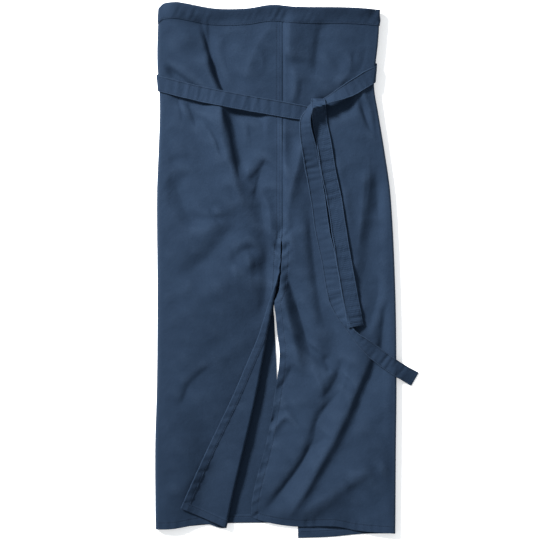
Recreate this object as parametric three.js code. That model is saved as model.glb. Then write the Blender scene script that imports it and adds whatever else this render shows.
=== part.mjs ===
// Long waist apron of twill, lying on its back: two panels joined by a centre seam that opens into a
// slit, a waistband folded over their top edge, and two ties brought round the sides and knotted
// once in front. Lengths are millimetres, +Z is up.
//
// The cloth is laid out in apron coordinates: u runs across, to the right of the centre seam, v runs
// down from the waist line, z rises from the surface the apron lies on.
import * as THREE from "three";

const { clamp, lerp, smoothstep } = THREE.MathUtils;

const CLOTH = 1.2; // wall of one layer of twill
const TIE = { thick: 2, half: 13 }; // a tie is a strip folded and sewn along both edges
const GAP = 0.4; // air between two pieces that lie on each other
const SEAM_GAP = 0.15; // half of the gap at the centre seam and along the side rolls
const BAND_DEEP = 25.5;
const MIDDLE = { u: 8, v: 446 }; // middle of the laid-out apron

const NAVY = 0x314259;
const NAVY_TIE = 0x33455f;

// Side folds of the tube, and the radius of the roll the cloth makes in them.
const OUTLINE = [
  { v: -10, left: -208, right: 166, roll: 7.0 },
  { v: 54, left: -211, right: 163, roll: 8.0 },
  { v: 100, left: -211, right: 158, roll: 8.0 },
  { v: 136, left: -208, right: 156, roll: 8.0 },
  { v: 180, left: -207, right: 163, roll: 8.5 },
  { v: 240, left: -209, right: 173, roll: 9.0 },
  { v: 320, left: -212, right: 184, roll: 9.0 },
  { v: 480, left: -211, right: 192, roll: 9.0 },
  { v: 640, left: -212, right: 194, roll: 9.0 },
  { v: 750, left: -215, right: 193, roll: 9.0 },
  { v: 900, left: -214, right: 192, roll: 8.0 },
];

// Top of the waistband, which waves a little.
const WAIST = [
  { u: -206, v: -6 },
  { u: -176, v: -8 },
  { u: -114, v: 3 },
  { u: -60, v: 3 },
  { u: -18, v: -3 },
  { u: 22, v: 0 },
  { u: 116, v: 1 },
  { u: 166, v: 4 },
];

// Bottom edges of the four quarters; the back right hem shows below the front one.
const HEM = {
  frontLeft: [
    { u: -214, v: 886 },
    { u: -184, v: 885 },
    { u: -129, v: 877 },
    { u: -100, v: 884 },
    { u: 0, v: 890 },
  ],
  backLeft: [
    { u: -214, v: 886 },
    { u: -95, v: 876 },
    { u: -11, v: 875 },
  ],
  frontRight: [
    { u: -53, v: 865 },
    { u: -30, v: 873 },
    { u: 20, v: 881 },
    { u: 90, v: 881 },
    { u: 128, v: 888 },
    { u: 192, v: 893 },
  ],
  backRight: [
    { u: 31, v: 901 },
    { u: 83, v: 899 },
    { u: 136, v: 894 },
    { u: 192, v: 893 },
  ],
};

// Slit: the edge of each panel before the left corner is turned back, below the end of the seam.
const SLIT_TOP = 396;
const SLIT = [
  { v: 380, left: 0, right: 0 },
  { v: 440, left: -1, right: 0.6 },
  { v: 500, left: -4, right: -9 },
  { v: 535, left: -7, right: -9 },
  { v: 580, left: -9, right: -4 },
  { v: 640, left: -10, right: -8 },
  { v: 730, left: -10, right: -25 },
  { v: 830, left: -8, right: -50 },
  { v: 890, left: -8, right: -54 },
];

// Crease of the turned-back corner: a straight line that leaves the slit at v = start.
const CREASE = { start: 424.6, lean: 0.2156, radius: 4, lies: 2.6, settle: 45 };
const CREASE_COS = 1 / Math.hypot(1, CREASE.lean);

// Edges of the back opening.
const BACK_EDGE = { left: -11, right: 27 };

// Heights: the back is lifted where the ties pass under it, the front is crowned between the side
// folds and drops towards the slit and the hem.
const BACK_LIFT = { height: 4.6, from: 60, to: 300 };
const CROWN = { height: 6, reach: 35 };
const SLIT_DROP = { left: 12, right: 15, reach: 75 };
const HEM_DROP = { height: 5, from: 780, to: 890 };

// Main folds of the front: a bent line from one end over a middle point to the other, the height of
// the fold (a valley is negative) and its half width on either side of the line.
const FOLDS = [
  { u: [-138, -121, -106], v: [28, 90, 150], high: -6, wide: 17 },
  { u: [-108, -86, -70], v: [160, 240, 320], high: -6, wide: 18 },
  { u: [-140, -110, -84], v: [190, 240, 320], high: 5, wide: 20 },
  { u: [-18, -46, -70], v: [236, 282, 316], high: -5, wide: 18 },
  { u: [-206, -170, -128], v: [275, 345, 362], high: -5, wide: 22 },
  { u: [-86, -132, -186], v: [365, 432, 462], high: -5, wide: 26 },
  { u: [-12, -60, -78], v: [32, 70, 120], high: 4, wide: 22 },
  { u: [54, 58, 62], v: [40, 90, 140], high: -4, wide: 18 },
  { u: [60, 90, 122], v: [176, 172, 160], high: -8, wide: 24 },
  { u: [126, 140, 152], v: [138, 176, 225], high: 5, wide: 14 },
  { u: [38, 20, 2], v: [235, 300, 372], high: -5, wide: 20 },
  { u: [172, 142, 130], v: [272, 350, 430], high: -6, wide: 20 },
  { u: [4, 24, 48], v: [462, 540, 618], high: -5, wide: 18 },
  { u: [-8, 8, 32], v: [500, 560, 640], high: 5, wide: 16 },
  { u: [182, 160, 100], v: [490, 580, 700], high: -7, wide: 18 },
  { u: [110, 62, 10], v: [686, 770, 880], high: -7, wide: 18 },
  { u: [95, 50, -30], v: [605, 715, 818], high: -7, wide: 18 },
  { u: [112, 76, 6], v: [640, 722, 846], high: 6, wide: 18 },
  { u: [150, 100, 56], v: [788, 822, 860], high: -4, wide: 26 },
  { u: [-125, -158, -182], v: [606, 634, 684], high: -4, wide: 18 },
];

// Ties, seen from above: where the middle of the strip runs and half its width there. The first
// row of each run lies on the side fold; `tail` hangs on from the knot.
const TIE_LEFT = {
  run: [
    { u: -199, v: 132, half: 13 },
    { u: -139, v: 147, half: 13 },
    { u: -58, v: 163, half: 13 },
    { u: -12, v: 171, half: 13 },
    { u: 28, v: 178, half: 12.5 },
    { u: 42, v: 179, half: 11 },
    { u: 52, v: 174, half: 9 },
    { u: 57, v: 165, half: 8 },
    { u: 59, v: 153, half: 9 },
  ],
  tail: [
    { u: 61, v: 153, half: 12 },
    { u: 62, v: 172, half: 12.4 },
    { u: 64, v: 196, half: 12.5 },
    { u: 71, v: 230, half: 12.5 },
    { u: 79, v: 280, half: 12.5 },
    { u: 88, v: 322, half: 12.5 },
    { u: 97, v: 380, half: 12.5 },
    { u: 104, v: 425, half: 12.5 },
    { u: 113, v: 468, half: 12.5 },
    { u: 127, v: 541, half: 12.5 },
  ],
};
const TIE_RIGHT = {
  run: [
    { u: 148, v: 119, half: 13 },
    { u: 117, v: 138, half: 12.5 },
    { u: 98, v: 148, half: 10 },
    { u: 76, v: 158.5, half: 5.8 },
    { u: 61, v: 164.5, half: 5.5 },
    { u: 49, v: 170, half: 6 },
  ],
  tail: [
    { u: 49, v: 170, half: 6 },
    { u: 42, v: 179, half: 8.5 },
    { u: 38.5, v: 192, half: 9.5 },
    { u: 40, v: 210, half: 11 },
    { u: 46, v: 241, half: 12.5 },
    { u: 61, v: 326, half: 12.5 },
    { u: 68, v: 377, half: 12.5 },
    { u: 79, v: 430, half: 12.5 },
    { u: 88, v: 490, half: 11.5 },
    { u: 97, v: 520, half: 8 },
    { u: 112, v: 545, half: 8 },
    { u: 136, v: 568, half: 11.5 },
    { u: 160, v: 588, half: 12.5 },
    { u: 192, v: 611, half: 12.5 },
    { u: 226, v: 631, half: 12.5 },
  ],
};

// Smooth curve through one named column of a table, read along another; held beyond its ends.
function track(rows, along, name) {
  const x = rows.map((row) => row[along]);
  const y = rows.map((row) => row[name]);
  const last = x.length - 1;
  const slope = x.map((_, i) => {
    const a = Math.max(i - 1, 0);
    const b = Math.min(i + 1, last);
    return (y[b] - y[a]) / (x[b] - x[a]);
  });
  return (at) => {
    if (at <= x[0]) return y[0];
    if (at >= x[last]) return y[last];
    const i = x.findIndex((value) => value > at) - 1;
    const step = x[i + 1] - x[i];
    const t = (at - x[i]) / step;
    return (
      y[i] * (1 + 2 * t) * (1 - t) ** 2 +
      slope[i] * step * t * (1 - t) ** 2 +
      y[i + 1] * t * t * (3 - 2 * t) +
      slope[i + 1] * step * t * t * (t - 1)
    );
  };
}

const leftFold = track(OUTLINE, "v", "left");
const rightFold = track(OUTLINE, "v", "right");
const rollRadius = track(OUTLINE, "v", "roll");
const waistTop = track(WAIST, "u", "v");
const slitLeft = track(SLIT, "v", "left");
const slitRight = track(SLIT, "v", "right");
const hemOf = Object.fromEntries(
  Object.entries(HEM).map(([name, rows]) => [name, track(rows, "u", "v")]),
);

const creaseAt = (v) => -CREASE.lean * (v - CREASE.start);
const backHeight = (v) =>
  CLOTH / 2 + BACK_LIFT.height * (1 - smoothstep(v, BACK_LIFT.from, BACK_LIFT.to));

// A fold line as a bent row of short straight pieces.
const foldLines = FOLDS.map(({ u, v, high, wide }) => {
  const bend = new THREE.QuadraticBezierCurve(
    new THREE.Vector2(u[0], v[0]),
    new THREE.Vector2(2 * u[1] - (u[0] + u[2]) / 2, 2 * v[1] - (v[0] + v[2]) / 2),
    new THREE.Vector2(u[2], v[2]),
  );
  return { points: bend.getPoints(8), high, wide };
});

// Height that the folds add at a place: each is bell-shaped across its line and fades at both ends.
function foldHeight(u, v) {
  const place = new THREE.Vector2(u, v);
  const nearest = new THREE.Vector2();
  const ahead = new THREE.Vector2();
  let sum = 0;
  for (const { points, high, wide } of foldLines) {
    let best = Infinity;
    let along = 0;
    for (let i = 0; i + 1 < points.length; i += 1) {
      ahead.subVectors(points[i + 1], points[i]);
      const t = clamp(nearest.subVectors(place, points[i]).dot(ahead) / ahead.lengthSq(), 0, 1);
      const away = nearest.copy(points[i]).addScaledVector(ahead, t).distanceTo(place);
      if (away < best) {
        best = away;
        along = (i + t) / (points.length - 1);
      }
    }
    const fade = smoothstep(along, 0, 0.3) * smoothstep(1 - along, 0, 0.3);
    sum += high * fade * Math.exp(-((best / wide) ** 2));
  }
  return sum;
}

// Height of the front cloth; `fromSlit` is how far the place lies from the slit edge of its panel.
function frontHeight(u, v, fromSlit, slitDrop) {
  const inward = Math.max(0, Math.min(u - leftFold(v), rightFold(v) - u) - rollRadius(v));
  const crown = CROWN.height * (1 - Math.exp(-inward / CROWN.reach));
  const open = smoothstep(v, SLIT_TOP - 10, SLIT_TOP + 150);
  const drop =
    slitDrop * open * Math.exp(-((Math.max(0, fromSlit) / SLIT_DROP.reach) ** 2)) +
    HEM_DROP.height * smoothstep(v, HEM_DROP.from, HEM_DROP.to);
  const loose = smoothstep(inward, 0, 25);
  return backHeight(v) + 2 * rollRadius(v) + crown + loose * (foldHeight(u, v) - drop);
}

// Point of the left front: the sheet runs flat up to the crease, rolls over it and lies back on
// itself, so that the turned corner is the mirror image of the sheet beyond the crease.
function leftFrontPoint(sheetU, sheetV) {
  const { radius, lies, settle } = CREASE;
  const past = (sheetU - creaseAt(sheetV)) * CREASE_COS + radius;
  const turn = clamp(past / radius, 0, Math.PI);
  const back = Math.max(0, past - Math.PI * radius);
  const shift = past > 0 ? radius * Math.sin(turn) - back - past : 0;
  const u = sheetU + shift * CREASE_COS;
  const v = sheetV + shift * CREASE_COS * CREASE.lean;
  const rise = radius * (1 - Math.cos(turn)) + (lies - 2 * radius) * smoothstep(back, 0, settle);
  return new THREE.Vector3(u, v, frontHeight(u, v, creaseAt(v) - u, SLIT_DROP.left) + rise);
}

function rightFrontPoint(u, v) {
  return new THREE.Vector3(u, v, frontHeight(u, v, u - slitRight(v), SLIT_DROP.right));
}

// Point on a side roll: turn 0 is its top, turn 1 its underside.
function sidePoint(side, turn, v) {
  const roll = rollRadius(v);
  const fold = side < 0 ? leftFold(v) + roll : rightFold(v) - roll;
  const angle = Math.PI * (0.5 - turn);
  const z = backHeight(v) + roll * (1 + Math.sin(angle));
  return new THREE.Vector3(fold + side * roll * Math.cos(angle), v, z);
}

function backPoint(side, share, v) {
  const roll = rollRadius(v);
  const from = side < 0 ? leftFold(v) + roll : rightFold(v) - roll;
  const to = side < 0 ? BACK_EDGE.left : BACK_EDGE.right;
  return new THREE.Vector3(lerp(from, to, share), v, backHeight(v));
}

// Columns of a panel from its slit edge round to its back edge: which stretch each belongs to and
// how far along that stretch it is. A stretch begins where the one before it ends.
function columnsOf(stretches) {
  const columns = [{ stretch: stretches[0][0], share: 0 }];
  for (const [stretch, count] of stretches) {
    for (let i = 1; i <= count; i += 1) columns.push({ stretch, share: i / count });
  }
  return columns;
}

const LEFT_COLUMNS = columnsOf([["flap", 4], ["crease", 5], ["front", 13], ["side", 5], ["back", 7]]);
const RIGHT_COLUMNS = columnsOf([["front", 15], ["side", 5], ["back", 7]]);
const PANEL_ROWS = 28;

function leftPoint({ stretch, share }, v) {
  if (stretch === "side") return sidePoint(-1, share, v);
  if (stretch === "back") return backPoint(-1, share, v);
  const edge = slitLeft(v) - SEAM_GAP;
  const rollEnd = Math.min(creaseAt(v) + ((Math.PI - 1) * CREASE.radius) / CREASE_COS, edge - 10);
  const rollStart = rollEnd - (Math.PI * CREASE.radius) / CREASE_COS;
  const side = leftFold(v) + rollRadius(v);
  const ends = { flap: [edge, rollEnd], crease: [rollEnd, rollStart], front: [rollStart, side] };
  return leftFrontPoint(lerp(...ends[stretch], share), v);
}

function rightPoint({ stretch, share }, v) {
  if (stretch === "side") return sidePoint(1, share, v);
  if (stretch === "back") return backPoint(1, share, v);
  return rightFrontPoint(lerp(slitRight(v) + SEAM_GAP, rightFold(v) - rollRadius(v), share), v);
}

// Grid of a panel: the first row is the raw edge inside the waistband, the second lies just below
// the waistband, the last is the hem.
function panelGrid(columns, pointAt, frontHem, backHem) {
  return columns.map((column) => {
    const hem = column.stretch === "side" || column.stretch === "back" ? backHem : frontHem;
    const top = waistTop(pointAt(column, 10).x) + CLOTH + GAP;
    const below = top + BAND_DEEP;
    const bottom = hem(pointAt(column, 870).x);
    return Array.from({ length: PANEL_ROWS + 1 }, (_, row) => {
      const v = row === 0 ? top : lerp(below, bottom, (row - 1) / (PANEL_ROWS - 1));
      return pointAt(column, v);
    });
  });
}

// Unit normals of a grid of points, from the neighbours along both of its directions.
function gridNormals(grid) {
  return grid.map((line, i) =>
    line.map((_, j) => {
      const across = new THREE.Vector3().subVectors(
        grid[Math.min(i + 1, grid.length - 1)][j],
        grid[Math.max(i - 1, 0)][j],
      );
      const along = new THREE.Vector3().subVectors(
        line[Math.min(j + 1, line.length - 1)],
        line[Math.max(j - 1, 0)],
      );
      return across.cross(along).normalize();
    }),
  );
}

// Closed solid from loops of points: each loop is joined to the next, the first and last are capped.
// `capQuads` names the four corners of each quad of a cap.
function loopSolid(loops, capQuads) {
  const size = loops[0].length;
  const index = [];
  const quad = (a, b, c, d) => index.push(a, b, c, a, c, d);
  for (let i = 0; i + 1 < loops.length; i += 1) {
    for (let k = 0; k < size; k += 1) {
      const next = (k + 1) % size;
      quad(i * size + k, (i + 1) * size + k, (i + 1) * size + next, i * size + next);
    }
  }
  const end = (loops.length - 1) * size;
  for (const [a, b, c, d] of capQuads) {
    quad(a, b, c, d);
    quad(end + d, end + c, end + b, end + a);
  }
  return outward(loops.flat(), index);
}

// Geometry from apron points, moved to the part's own frame, with its faces turned outward.
function outward(points, index) {
  const placed = points.map((p) => new THREE.Vector3(p.x - MIDDLE.u, MIDDLE.v - p.y, p.z));
  let volume = 0;
  for (let i = 0; i < index.length; i += 3) {
    const [a, b, c] = [placed[index[i]], placed[index[i + 1]], placed[index[i + 2]]];
    volume += a.dot(new THREE.Vector3().crossVectors(b, c));
  }
  const faces = volume > 0 ? index : index.slice().reverse();
  const geometry = new THREE.BufferGeometry().setFromPoints(placed);
  geometry.setIndex(faces);
  geometry.computeVertexNormals();
  return geometry;
}

// Cloth wall of even thickness about a grid of points.
function wallSolid(grid, normals) {
  const rows = grid[0].length;
  const loops = grid.map((line, i) => {
    const shifted = (offset) => line.map((p, j) => p.clone().addScaledVector(normals[i][j], offset));
    return [...shifted(CLOTH / 2), ...shifted(-CLOTH / 2).reverse()];
  });
  const capQuads = Array.from({ length: rows - 1 }, (_, j) => [
    j,
    j + 1,
    2 * rows - 2 - j,
    2 * rows - 1 - j,
  ]);
  return loopSolid(loops, capQuads);
}

// Meshes of a panel's front, side roll and back, which meet along the side fold. Each is drawn in by half
// a gap where it meets the next.
function panelMeshes(name, columns, grid, normals) {
  const endOf = (stretch) => columns.findLastIndex((column) => column.stretch === stretch);
  const ends = { front: [0, endOf("front")], side: [endOf("front"), endOf("side")] };
  ends.back = [endOf("side"), endOf("back")];
  const drawnIn = (line, inner) =>
    line.map((p, j) => p.clone().add(new THREE.Vector3().subVectors(inner[j], p).setLength(SEAM_GAP)));
  return Object.entries(ends).map(([stretch, [first, last]]) => {
    const part = grid.slice(first, last + 1);
    if (first > 0) part[0] = drawnIn(grid[first], grid[first + 1]);
    if (last < grid.length - 1) part[last - first] = drawnIn(grid[last], grid[last - 1]);
    return meshOf(`${name}_${stretch}`, wallSolid(part, normals.slice(first, last + 1)), NAVY);
  });
}

// Waistband folded over the top edge: two layers and the fold that joins them, round both panels.
function bandSolid(stations) {
  const near = CLOTH / 2 + GAP;
  const far = near + CLOTH;
  const loops = stations.map(({ top, below, topNormal, belowNormal }) => {
    const up = new THREE.Vector3().subVectors(top, below).normalize();
    const corner = (atTop, rise, offset) =>
      (atTop ? top : below)
        .clone()
        .addScaledVector(up, rise)
        .addScaledVector(atTop ? topNormal : belowNormal, offset);
    const bottom = CLOTH + GAP;
    return [
      corner(false, bottom, far),
      corner(true, GAP + CLOTH, far),
      corner(true, GAP + CLOTH, -far),
      corner(false, bottom, -far),
      corner(false, bottom, -near),
      corner(true, GAP, -near),
      corner(true, GAP, near),
      corner(false, bottom, near),
    ];
  });
  return loopSolid(loops, [[0, 1, 6, 7], [1, 2, 5, 6], [2, 3, 4, 5]]);
}

// Strip of a tie through rings of { centre, half, up }: half reaches from the middle to one edge.
function stripSolid(rings) {
  const loops = rings.map(({ centre, half, up }) =>
    [[1, 1], [1, -1], [-1, -1], [-1, 1]].map(([side, face]) =>
      centre.clone().addScaledVector(half, side).addScaledVector(up, (face * TIE.thick) / 2),
    ),
  );
  return loopSolid(loops, [[0, 1, 2, 3]]);
}

// Level rings along a table of a tie's run, about `step` apart. `hand` is the side of the run on which
// the rings' half width points, `face` which face of the strip is up.
function levelRings(rows, step, hand, face) {
  const path = new THREE.CatmullRomCurve3(
    rows.map(({ u, v, half }) => new THREE.Vector3(u, v, half)),
    false,
    "centripetal",
  );
  const count = Math.round(path.getLength() / step);
  return path.getSpacedPoints(count).map((p, i) => {
    const ahead = path.getTangentAt(i / count).setZ(0).normalize();
    return {
      centre: new THREE.Vector3(p.x, p.y, 0),
      half: new THREE.Vector3(-ahead.y, ahead.x, 0).multiplyScalar(hand * p.z),
      up: new THREE.Vector3(0, 0, face),
    };
  });
}

// Height of whatever lies highest under a ring, over its whole width and half a step either way.
function supportUnder(ring, ahead, meshes) {
  const down = new THREE.Raycaster();
  let top = 0;
  for (const across of [-1, -0.5, 0, 0.5, 1]) {
    for (const along of [-0.5, 0, 0.5]) {
      const at = ring.centre.clone().addScaledVector(ring.half, across).addScaledVector(ahead, along);
      down.set(
        new THREE.Vector3(at.x - MIDDLE.u, MIDDLE.v - at.y, 300),
        new THREE.Vector3(0, 0, -1),
      );
      const [hit] = down.intersectObjects(meshes);
      if (hit) top = Math.max(top, hit.point.z);
    }
  }
  return top;
}

// Lays level rings on what is under them. Each pass lets the strip bridge a little further from one
// high place to the next, so many passes pull it taut and a few leave it slack.
function lay(rings, meshes, passes, startHeight) {
  const supports = rings.map((ring, i) => {
    const other = rings[i + 1] ?? rings[i - 1];
    const ahead = new THREE.Vector3().subVectors(other.centre, ring.centre);
    return supportUnder(ring, ahead, meshes) + GAP + TIE.thick / 2;
  });
  let heights = supports.slice();
  if (startHeight !== undefined) heights[0] = startHeight;
  for (let pass = 0; pass < passes; pass += 1) {
    heights = heights.map((z, i) => {
      if (i === 0 || i === heights.length - 1) return z;
      return Math.max(supports[i], (heights[i - 1] + 2 * z + heights[i + 1]) / 4);
    });
  }
  return rings.map((ring, i) => ({ ...ring, centre: ring.centre.clone().setZ(heights[i]) }));
}

// Half turn of a strip about a level line, from heading `ahead` at `from` to coming back above or
// below it; `rise` is the height gained. The end rings themselves are left out.
function halfTurn(from, to, ahead, steps) {
  const rise = (to.centre.z - from.centre.z) / 2;
  const reach = Math.abs(rise);
  return Array.from({ length: steps - 1 }, (_, i) => {
    const turn = (Math.PI * (i + 1)) / steps;
    const share = (i + 1) / steps;
    const centre = new THREE.Vector3().lerpVectors(from.centre, to.centre, share);
    centre.z = from.centre.z + rise * (1 - Math.cos(turn));
    centre.addScaledVector(ahead, reach * Math.sin(turn));
    const up = new THREE.Vector3(0, 0, Math.cos(turn));
    up.addScaledVector(ahead, -Math.sign(rise) * Math.sin(turn));
    return { centre, half: from.half.clone().lerp(to.half, share), up };
  });
}

// Hidden start of a tie: it leaves the end of the waistband, folds back under it and runs along the
// underside to the side fold, then climbs round the roll.
function tieStart(side, sideV) {
  const end = side < 0 ? BACK_EDGE.left : BACK_EDGE.right;
  const bandMiddle = BAND_DEEP / 2 + waistTop(end);
  const out = -side; // direction in which the tie leaves the band
  const foot = sidePoint(side, 1, sideV - 8);
  const turnU = end + out * 6;
  const run = new THREE.Vector2(foot.x - turnU, foot.y - bandMiddle).normalize();
  const foldLine = new THREE.Vector2(run.x + out, run.y).normalize();
  const slant = new THREE.Vector3(foldLine.x, foldLine.y, 0).multiplyScalar(TIE.half / foldLine.y);
  const square = new THREE.Vector3(-run.y, run.x, 0).multiplyScalar(TIE.half * side);
  const up = new THREE.Vector3(0, 0, 1);
  const down = new THREE.Vector3(0, 0, -1);
  const upper = (u) => new THREE.Vector3(u, bandMiddle, backHeight(bandMiddle));
  const lower = (share) =>
    new THREE.Vector3(lerp(turnU, foot.x, share), lerp(bandMiddle, foot.y, share), TIE.thick / 2);
  const straight = new THREE.Vector3(0, TIE.half, 0);
  const first = { centre: upper(end + out * 0.3), half: straight, up };
  const beforeTurn = { centre: upper(turnU), half: slant, up };
  const afterTurn = { centre: lower(0), half: slant, up: down };
  const outAhead = new THREE.Vector3(out, 0, 0);
  const backRun = [0.2, 0.4, 0.6, 0.8, 0.94].map((share) => ({
    centre: lower(share),
    half: square,
    up: down,
  }));
  return [first, beforeTurn, ...halfTurn(beforeTurn, afterTurn, outAhead, 5), afterTurn, ...backRun];
}

// Rings of a tie round a side roll, from the underside to the top.
function tieRound(side, sideV, topRing) {
  const steps = 9;
  const clear = CLOTH / 2 + 3 * GAP + TIE.thick / 2;
  return Array.from({ length: steps }, (_, i) => {
    const turn = 1 - i / steps;
    const v = lerp(sideV - 8, topRing.centre.y, i / steps);
    const angle = Math.PI * (0.5 - turn);
    const up = new THREE.Vector3(side * Math.cos(angle), 0, Math.sin(angle));
    const ahead = new THREE.Vector3(side * Math.sin(angle), 0.25, -Math.cos(angle)).normalize();
    const half = new THREE.Vector3().crossVectors(ahead, up);
    half.setLength(TIE.half * Math.sign(half.y));
    return { centre: sidePoint(side, turn, v).addScaledVector(up, clear), half, up };
  });
}

function meshOf(name, geometry, color) {
  const material = new THREE.MeshStandardMaterial({ color, roughness: 0.85, metalness: 0 });
  const mesh = new THREE.Mesh(geometry, material);
  mesh.name = name;
  return mesh;
}

const leftGrid = panelGrid(LEFT_COLUMNS, leftPoint, hemOf.frontLeft, hemOf.backLeft);
const rightGrid = panelGrid(RIGHT_COLUMNS, rightPoint, hemOf.frontRight, hemOf.backRight);
const leftNormals = gridNormals(leftGrid);
const rightNormals = gridNormals(rightGrid).map((line) => line.map((n) => n.negate()));

const station = (grid, normals) => (line, i) => ({
  top: line[0],
  below: line[1],
  topNormal: normals[i][0],
  belowNormal: normals[i][1],
});
const bandStations = [
  ...leftGrid.map(station(leftGrid, leftNormals)).reverse(),
  ...rightGrid.map(station(rightGrid, rightNormals)).slice(1),
];

const cloth = [
  ...panelMeshes("left", LEFT_COLUMNS, leftGrid, leftNormals),
  ...panelMeshes("right", RIGHT_COLUMNS, rightGrid, rightNormals),
];
const waistband = meshOf("waistband", bandSolid(bandStations), NAVY);

// The knot from below upward: the left tie passes under, the right tie crosses it, and the left tie
// comes over its upper edge and down in front.
const leftRun = lay(levelRings(TIE_LEFT.run, 9, 1, 1), cloth, 200);
const leftRunMesh = meshOf("left_run", stripSolid(leftRun), NAVY_TIE);
const underRight = [...cloth, leftRunMesh];
const rightRun = lay(levelRings(TIE_RIGHT.run, 9, -1, 1), underRight, 200);
const rightTail = lay(levelRings(TIE_RIGHT.tail, 9, -1, 1), underRight, 10, rightRun.at(-1).centre.z);
const rightRings = [
  ...tieStart(1, TIE_RIGHT.run[0].v),
  ...tieRound(1, TIE_RIGHT.run[0].v, rightRun[0]),
  ...rightRun,
  ...rightTail.slice(1),
];
const tieRight = meshOf("tie_right", stripSolid(rightRings), NAVY_TIE);

const leftTail = lay(levelRings(TIE_LEFT.tail, 9, -1, -1), [...underRight, tieRight], 10);
const leftRings = [
  ...tieStart(-1, TIE_LEFT.run[0].v),
  ...tieRound(-1, TIE_LEFT.run[0].v, leftRun[0]),
  ...leftRun,
  ...halfTurn(leftRun.at(-1), leftTail[0], new THREE.Vector3(0, -1, 0), 6),
  ...leftTail,
];
const tieLeft = meshOf("tie_left", stripSolid(leftRings), NAVY_TIE);

const apron = new THREE.Group();
apron.name = "apron";
apron.add(...cloth, waistband, tieLeft, tieRight);

export default apron;
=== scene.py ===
"""Long waist apron of navy twill, lying on its back: two panels joined by a centre seam that opens into
a slit, a waistband folded over their top edge, and two ties brought round the sides and knotted in front.

The cloth is worked out in apron coordinates, in millimetres: u runs across, to the right of the centre
seam, v runs down from the waist line, z rises from the surface the apron lies on.
"""
from functools import partial

import bpy
import numpy as np
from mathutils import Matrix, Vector


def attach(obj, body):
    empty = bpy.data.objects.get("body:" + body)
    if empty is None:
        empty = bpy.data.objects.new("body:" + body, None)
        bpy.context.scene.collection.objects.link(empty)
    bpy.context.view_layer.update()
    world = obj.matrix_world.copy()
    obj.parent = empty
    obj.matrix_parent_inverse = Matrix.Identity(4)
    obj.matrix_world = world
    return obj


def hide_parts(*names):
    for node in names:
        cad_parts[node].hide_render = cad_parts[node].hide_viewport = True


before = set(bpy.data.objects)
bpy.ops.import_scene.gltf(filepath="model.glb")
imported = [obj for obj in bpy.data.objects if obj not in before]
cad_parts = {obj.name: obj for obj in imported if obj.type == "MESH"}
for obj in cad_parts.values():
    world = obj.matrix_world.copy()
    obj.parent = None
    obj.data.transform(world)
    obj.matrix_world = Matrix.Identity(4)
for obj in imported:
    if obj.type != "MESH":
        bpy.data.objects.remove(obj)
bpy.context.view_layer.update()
scene = bpy.context.scene

LEFT, RIGHT = -1, 1  # sides of the apron, as signs of u
TO_WAIST = np.array([0.0, -1.0, 0.0])
MM = 0.001  # in metres

# Sizes in millimetres.
MIDDLE_U, MIDDLE_V = 8.0, 446.0  # middle of the laid-out apron
CLOTH = 1.0  # one layer of twill with the loft of its weave
BAND_DEEP = 25.5
HEM = 13.0  # width of a hem, turned twice
HEM_STITCH = 11.2  # from the edge of the hem to its row of stitches
SEAM_STITCHES = np.array([3.6, 9])  # rows of stitches beside the centre seam, on the left panel
SLIT_TOP = 396.0
SEAM_LAP = 7.0  # how far the right panel reaches under the left one at the centre seam
BACK_EDGE = {LEFT: -11.0, RIGHT: 27.0}  # edges of the back opening at the waist
PANEL_TOP, BAND_TOP = 2.0, 1.5  # from the waist line down to a panel's edge and to the band's fold
TIE_THICK = 1.9  # a tie is a strip folded and sewn along both edges
TIE_HALF, TIE_FLAT_HALF = 13.0, 12.5  # half its width as cut, and where it hangs from the knot
TIE_CURL = 1.5  # how far its edges curl up
TIE_TURN = 6.0  # from the end of the waistband to the slanting fold at the start of a tie
TIE_GAP = 0.3  # left between the end of the waistband and the start of a tie
TIE_WRAP = 20.0  # length of a tie round a side fold
TIE_SLOPE = {LEFT: 0.25, RIGHT: 0.48}  # how far down a tie goes for its length, round the side fold
TIE_OVER = {LEFT: 130.5, RIGHT: 116.0}  # v at which a tie comes over the side fold
STITCH_PITCH, STITCH_LENGTH, STITCH_RADIUS = 3.4, 2.6, 0.27

# Clearances above the floor: of the back, a rippled panel, a tie and its run under the back. Clearances
# above cloth: of a tie round a side roll, the panels' lap, other layers and stitches.
BACK_CLEAR, RIPPLE_CLEAR, TIE_CLEAR, UNDER_CLEAR = 0.6, 0.45, 0.4, 0.9
ROUND_CLEAR, LAP_CLEAR, LAYER_CLEAR, STITCH_CLEAR = 1.2, 0.12, 0.15, 0.05

# Grids. A hem's columns lie close together at its edge and at its stitches.
HEM_STEPS = np.array([0, 0.35, 0.9, 2, 3.6, 5.4, 7.2, 9, 10.2, 10.8, HEM_STITCH, 11.6, 12.2, 13, 13.6,
                      15, 17])
STITCH_STEP = np.searchsorted(HEM_STEPS, HEM_STITCH)
LEFT_COLUMNS = (len(HEM_STEPS), 24, 14, 100, 10, 16)  # hem, turned corner, crease, front, side, back
RIGHT_COLUMNS = (len(HEM_STEPS), 126, 10, 18)  # hem, front, side, back
FLAP_LEAST = 24.0  # least width of the left sheet between its slit edge and the columns of the crease
BODY_ROWS = 244  # of a panel above its bottom hem
BAND_STATIONS = (26, 14, 200)  # back, side and front
HEM_PROBE, WAIST_PROBE = 870.0, 10.0  # v at which a column's u is read, for its hem and its top
TIE_STITCH = 0.84  # share of a tie's half width at which its rows of stitches run
ACROSS = np.array([-1, -0.97, -0.92, -TIE_STITCH, -0.76, -0.64, -0.5, -0.34, -0.17, 0,
                   0.17, 0.34, 0.5, 0.64, 0.76, TIE_STITCH, 0.92, 0.97, 1])  # shares of its half width
TIE_MIDDLE = len(ACROSS) // 2
TIE_ROW = 2.2  # length of a tie between two rows
ROUND_ROWS, UNDER_ROWS = 16, 24

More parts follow.
